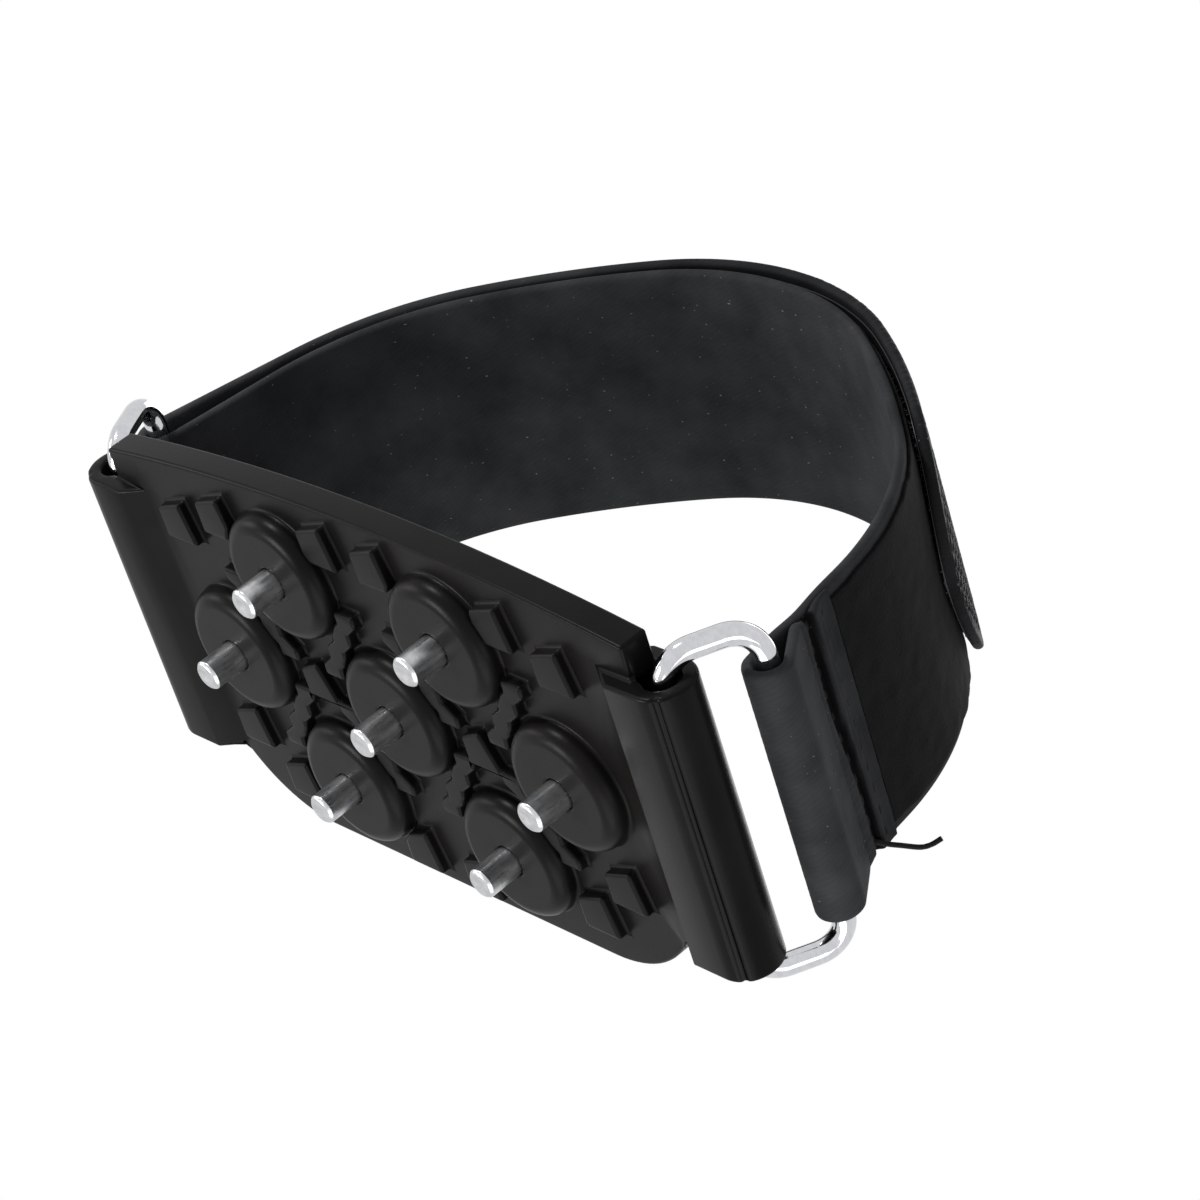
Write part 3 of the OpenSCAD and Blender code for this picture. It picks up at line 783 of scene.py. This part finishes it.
tail_relief += DOT_RISE * raised_dots()
still_pressed = (1 - fade(along, GRID_LEN, 2 * GRID_LEN))[:, None]
pressed = TAIL_PRESSED * np.broadcast_to(still_pressed, tail_relief.shape)
tail = ribbon(
    "strap_tail_webbing", tail_route, tail_half, WEB_T, tail_relief, np.zeros_like(tail_relief),
    tail_columns, WEBBING, pressed,
)
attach(tail, "tail")
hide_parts("strap_tail")
print("tail has", len(tail.data.vertices), "points")

# %% [markdown]
# ### Loop pile and hooks
# The pile lies on the outside of the strap from the hem to the slip ring, a little inside its
# edges. Hair would show every fibre, but it is lost in an export, so the pile is a thin ribbon with
# rough random relief. The hook tape is a thin backing with rows of small bent hooks, which show
# round the tip and when the tail is open.

# %% Loop pile
PILE_STEP = 0.6 * MM        # distance between the points of the pile, both ways
PILE_ROUGH = 0.1 * MM
PILE_WAVER = 0.25 * MM      # how far its edges wander
TAPE_INSET = 1.5 * MM       # how far both tapes stay inside the edges of the webbing

pile_start = side_at(HEM_RISE + HEM_FLAT + 0.3 * MM, 0)
pile_end = flip(side_at(HEM_RISE, 0))
pile_parts = [[pile_start], arch(SIDE_LEAN, 180 - SIDE_LEAN, 0), [pile_end]]
along, middle, normal = stations(pile_parts, PILE_STEP)
pile_off = WEB_T / 2 + BOND + PILE_T / 2
pile_columns = int(STRAP_W / PILE_STEP)
pile_half = STRAP_W / 2 - TAPE_INSET + PILE_WAVER * fuzz(len(along), 1, 8, 1)[:, 0]
rough = PILE_ROUGH * fuzz(len(along), pile_columns, 9, 1)
pile = ribbon(
    "loop_pile", (along, middle + normal * pile_off, normal), pile_half, PILE_T - PILE_ROUGH,
    rough, np.zeros_like(rough), pile_columns, PILE,
)
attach(pile, "strap")
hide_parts("loop_tape")
print("pile has", len(pile.data.vertices), "points")

# %% Hook backing
HOOK_LEN = 66 * MM          # length of the hook tape
BACKING_T = 0.22 * MM
BACKING_STEP = 0.8 * MM
BACKING_COLUMNS = 24

hook_route = stations([arch(tip_angle, 180 - tail_lean, tail_off)], BACKING_STEP)
taped = hook_route[0] <= HOOK_LEN
along, middle, normal = (part[taped] for part in hook_route)
hook_half = tip_outline(along) - TAPE_INSET
backing_off = WEB_T / 2 + BOND + BACKING_T / 2
flat_relief = np.zeros((len(along), BACKING_COLUMNS))
backing = ribbon(
    "hook_backing", (along, middle - normal * backing_off, normal), hook_half, BACKING_T,
    flat_relief, flat_relief, BACKING_COLUMNS, HOOKS,
)
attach(backing, "tail")
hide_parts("hook_tape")
print("backing is", round(along[-1] / MM), "mm long")

# %% Hooks
HOOK_PITCH = 1.5 * MM
HOOK_WIRE = 0.08 * MM       # radius of a hook's wire
# Points on a hook, in mm: how far it leans over, and how high it stands.
HOOK_BEND = [(0, 0), (0, 0.18), (0.05, 0.31), (0.17, 0.37), (0.26, 0.30)]


def hook_field():
    """Rows of bent hooks that stand off the backing towards the pile."""
    bend = np.array(HOOK_BEND) * MM
    corner = np.radians([45, 135, 225, 315])
    verts, faces = [], []
    for row, place in enumerate(np.arange(0.6 * MM, HOOK_LEN - HOOK_PITCH, HOOK_PITCH)):
        at = np.array([np.interp(place, along, middle[:, k]) for k in (0, 1)])
        out = np.array([np.interp(place, along, normal[:, k]) for k in (0, 1)])
        ahead = np.array([-out[1], out[0]]) * (1 if row % 2 else -1)
        width = np.interp(place, along, hook_half) - 0.3 * MM
        count = max(1, int(2 * width / HOOK_PITCH))
        base = at - out * (backing_off + BACKING_T / 2 - 0.05 * MM)
        for y in (np.arange(count) - (count - 1) / 2 + 0.25 * (row % 2)) * HOOK_PITCH:
            first = len(verts)
            for sway, rise in bend:
                spot = base - out * rise + ahead * sway
                for angle in corner:
                    side = HOOK_WIRE * math.cos(angle)
                    lift = HOOK_WIRE * math.sin(angle)
                    verts.append((spot[0] + ahead[0] * lift, y + side, spot[1] + ahead[1] * lift))
            for ring in range(len(bend) - 1):
                low = first + ring * 4
                for k in range(4):
                    after = (k + 1) % 4
                    faces.append([low + k, low + after, low + 4 + after, low + 4 + k])
            faces.append([first + (len(bend) - 1) * 4 + k for k in range(4)])
            faces.append([first + k for k in (3, 2, 1, 0)])
    return make_piece("hook_rows", verts, faces, HOOKS)


hooks = hook_field()
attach(hooks, "tail")
print("hook rows have", len(hooks.data.vertices), "points")

# %% [markdown]
# ### Stitches
# Each stitch is a short arch of thread that dives into the cloth at both ends. A curve with a bevel
# would do, but a tube of plain points can join all the stitches of a row in one mesh. The lower row
# lies deep in its groove and the upper row is nearly flush. One loose end was never trimmed: it
# sticks out of the seam at the heel side.

# %% Stitches
THREAD_R = 0.22 * MM
STITCH_LEN = 2.3 * MM
LOWER_SUNK = 1.05 * MM      # how far the lower row is sunk into the hem
UPPER_SUNK = 0.8 * MM
INSIDE_SUNK = 0.15 * MM     # how far both rows are sunk into the inside of the strap
ARCH_RISE = 0.1             # in mm, how far the middle of a stitch stands up
ARCH_DIVE = 0.4             # in mm, how far its ends are below its middle


def tube(path, radius, sides=8):
    """Points and faces of a round tube along a path, closed at both ends."""
    path = np.asarray(path, dtype=float)
    heading = np.gradient(path, axis=0)
    heading /= np.linalg.norm(heading, axis=1)[:, None]
    aside = np.cross(heading, [0.31, 0.24, 0.92])
    aside /= np.linalg.norm(aside, axis=1)[:, None]
    above = np.cross(heading, aside)
    angles = np.linspace(0, 2 * math.pi, sides, endpoint=False)
    radius = np.broadcast_to(radius, len(path))
    verts = [
        path[k] + radius[k] * (math.cos(a) * aside[k] + math.sin(a) * above[k])
        for k in range(len(path))
        for a in angles
    ]
    faces = []
    for k in range(len(path) - 1):
        low = k * sides
        for s in range(sides):
            after = (s + 1) % sides
            faces.append([low + s, low + after, low + sides + after, low + sides + s])
    last = (len(path) - 1) * sides
    faces += [list(range(sides))[::-1], [last + s for s in range(sides)]]
    return verts, faces


def stitch_row(name, along_side, sunk, drift, node):
    """One row across the hem, sunk into its outside, and flush on the inside of the strap.

    drift is the share of the groove's climb that the row follows.
    """
    verts, faces = [], []
    count = int((STRAP_W - 2 * PULL_IN - STITCH_LEN) / STITCH_PITCH)
    for k in range(count + 1):
        middle_y = (k - count / 2) * STITCH_PITCH
        for face, sign in ((1.5 * WEB_T - sunk, 1), (-0.5 * WEB_T + INSIDE_SUNK, -1)):
            path = []
            for t in np.linspace(-1, 1, 7):
                y = middle_y + t * STITCH_LEN / 2
                bow = sign * (ARCH_RISE - ARCH_DIVE * t * t) * MM
                spot = side_at(along_side + drift * climb(y), face + bow)
                path.append((spot[0], y, spot[1]))
            more, walls = tube(path, THREAD_R)
            faces += [[len(verts) + v for v in wall] for wall in walls]
            verts += more
    row = make_piece(name, verts, faces, THREAD)
    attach(row, "strap")
    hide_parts(node)


stitch_row("stitches_lower", SEAM_MID - SEAM_ROWS / 2, LOWER_SUNK, 1, "anchor_seam_lower")
stitch_row("stitches_upper", SEAM_MID + SEAM_ROWS / 2, UPPER_SUNK, 0.3, "anchor_seam_upper")
print("in mm: stitches every", round(STITCH_PITCH / MM, 1), "and rows", round(SEAM_ROWS / MM, 1))

# %% Loose thread
# Points on the loose end, in mm: how far it has run out of the seam, and its lift.
THREAD_END = [(-1.2, 0), (0, 0), (1.4, -0.25), (2.9, -0.4), (5.1, -0.6), (6.4, -0.3), (7.6, 0.4)]
THREAD_END_R = 0.32 * MM
RUN = np.array([0.59, 0.32, 0.74])      # outwards, to the heel and up
LIFT = np.array([-0.30, -0.76, 0.57])   # inwards, to the toe and up


def smooth_path(points, count):
    """A smooth curve through given points."""
    points = np.asarray(points, dtype=float)
    ends = np.vstack([2 * points[0] - points[1], points, 2 * points[-1] - points[-2]])
    path = []
    for t in np.linspace(0, len(points) - 1, count):
        k = min(int(t), len(points) - 2)
        u = t - k
        a, b, c, d = ends[k : k + 4]
        square = 2 * a - 5 * b + 4 * c - d
        cube = 3 * b - a - 3 * c + d
        path.append(0.5 * (2 * b + (c - a) * u + square * u**2 + cube * u**3))
    return np.array(path)


start = side_at(SEAM_MID - SEAM_ROWS / 2 + SKEW, 0.9 * WEB_T)
origin = np.array([start[0], STRAP_W / 2 - PULL_IN - 1.2 * MM, start[1]])
thread_path = [origin + (run * RUN + lift * LIFT) * MM for run, lift in smooth_path(THREAD_END, 40)]
verts, faces = tube(thread_path, THREAD_END_R)
loose = make_piece("loose_thread", verts, faces, THREAD)
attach(loose, "strap")
thread_len = sum(np.linalg.norm(np.diff(thread_path, axis=0), axis=1))
print("loose thread is", round(thread_len / MM, 1), "mm long")

# %% [markdown]
# ## Stage and light
# The floor lies at the stud tips. The picture is taken from below it, and a plain floor would hide
# the tread, so its under side lets the camera look through. Only camera rays meet it: lamps below
# the floor still light the tread. Seen from above it glows a little of its own, so that it stays
# pale and still shows the shadow. The world is white where it is seen or mirrored, and gives plain
# grey light otherwise.

# %% Floor
FLOOR_HALF = 2.0            # metres
FLOOR_Z = -0.2 * MM
FLOOR_PALE = (0.86, 0.86, 0.86, 1)
FLOOR_GLOW = 0.25
WHITE = (1, 1, 1, 1)


def floor_finish():
    """A pale floor from above, and nothing at all from below."""
    material, tree, shader = finish(
        "pale_floor", base_color=FLOOR_PALE, roughness=0.9,
        emission_color=WHITE, emission_strength=FLOOR_GLOW,
    )
    below = tree.nodes.new("ShaderNodeNewGeometry").outputs["Backfacing"]
    clear = tree.nodes.new("ShaderNodeBsdfTransparent").outputs[0]
    mix = tree.nodes.new("ShaderNodeMixShader")
    for socket, link in zip(mix.inputs, (below, shader.outputs[0], clear)):
        tree.links.new(link, socket)
    tree.links.new(mix.outputs[0], tree.nodes["Material Output"].inputs[0])
    return material


corners = [(-1, -1), (1, -1), (1, 1), (-1, 1)]
floor_mesh = bpy.data.meshes.new("floor")
floor_points = [(x * FLOOR_HALF, y * FLOOR_HALF, FLOOR_Z) for x, y in corners]
floor_mesh.from_pydata(floor_points, [], [(0, 1, 2, 3)])
floor_mesh.materials.append(floor_finish())
floor = bpy.data.objects.new("floor", floor_mesh)
bpy.context.scene.collection.objects.link(floor)
for ray in ("diffuse", "glossy", "transmission", "shadow"):
    setattr(floor, f"visible_{ray}", False)
print("floor is", 2 * FLOOR_HALF, "m wide, at", round(FLOOR_Z / MM, 1), "mm")

# %% World
AMBIENT = 0.3

world = bpy.data.worlds.new("studio")
world.use_nodes = True
bpy.context.scene.world = world
tree = world.node_tree
rays = tree.nodes.new("ShaderNodeLightPath").outputs
seen = rays["Is Camera Ray"]
for other in ("Is Glossy Ray", "Is Transmission Ray"):
    seen = add(tree, "ShaderNodeMath", {0: seen, 1: rays[other]}, operation="MAXIMUM")
level = add(tree, "ShaderNodeMapRange", {"Value": seen, "To Min": AMBIENT, "To Max": 1.0})
background = tree.nodes["Background"]
background.inputs["Color"].default_value = WHITE
tree.links.new(level, background.inputs["Strength"])
print("world is", world.name, "with ambient light of", AMBIENT)

# %% [markdown]
# ### Lamps
# Black rubber shows its shape by what glints on it. One lamp beside the camera would leave it flat,
# so several stand round it, most of them to one side, where they rake over the tread. They are
# below the floor, as the camera is, and leave no bright patch on it. Their places are given along
# the camera's own right, up and back. A large lamp overhead lights the strap and throws the shadow.

# %% Lamps
LAMP_REACH = 0.7            # metres from the object
LAMPS = {                   # right, up and back, then the size in metres and the power in watts
    "key": (-0.91, -0.25, 0.25, 0.22, 3.2),
    "edge": (-0.95, 0.25, -0.2, 0.22, 0.8),
    "top": (-0.60, 0.74, 0.30, 0.1, 2.6),
    "low": (-0.1, -0.93, 0.35, 0.5, 2.4),
    "fill": (0.4, -0.55, 0.73, 0.3, 0.7),
}
OVERHEAD_FROM = Vector((-0.25, 0.2, 0.6))
LAMP_UP = Vector((0.01, 0.02, 1))   # upright, but never quite in line with a lamp


def soft_lamp(name, place, size, watts):
    """A square lamp that faces the object."""
    data = bpy.data.lights.new(name, "AREA")
    data.shape = "SQUARE"
    data.size = size
    data.energy = watts
    lamp = bpy.data.objects.new(name, data)
    lamp.matrix_world = looking_at(place, AIM_AT, LAMP_UP)
    bpy.context.scene.collection.objects.link(lamp)


side, top, back = (camera.matrix_world.to_3x3().col[k] for k in range(3))
for name, (on_side, on_top, on_back, size, watts) in LAMPS.items():
    away = LAMP_REACH * (on_side * side + on_top * top + on_back * back)
    soft_lamp(name, AIM_AT + away, size, watts)
soft_lamp("overhead", AIM_AT + OVERHEAD_FROM, 0.5, 1.8)
print("lamps:", [light.name for light in bpy.data.lights])
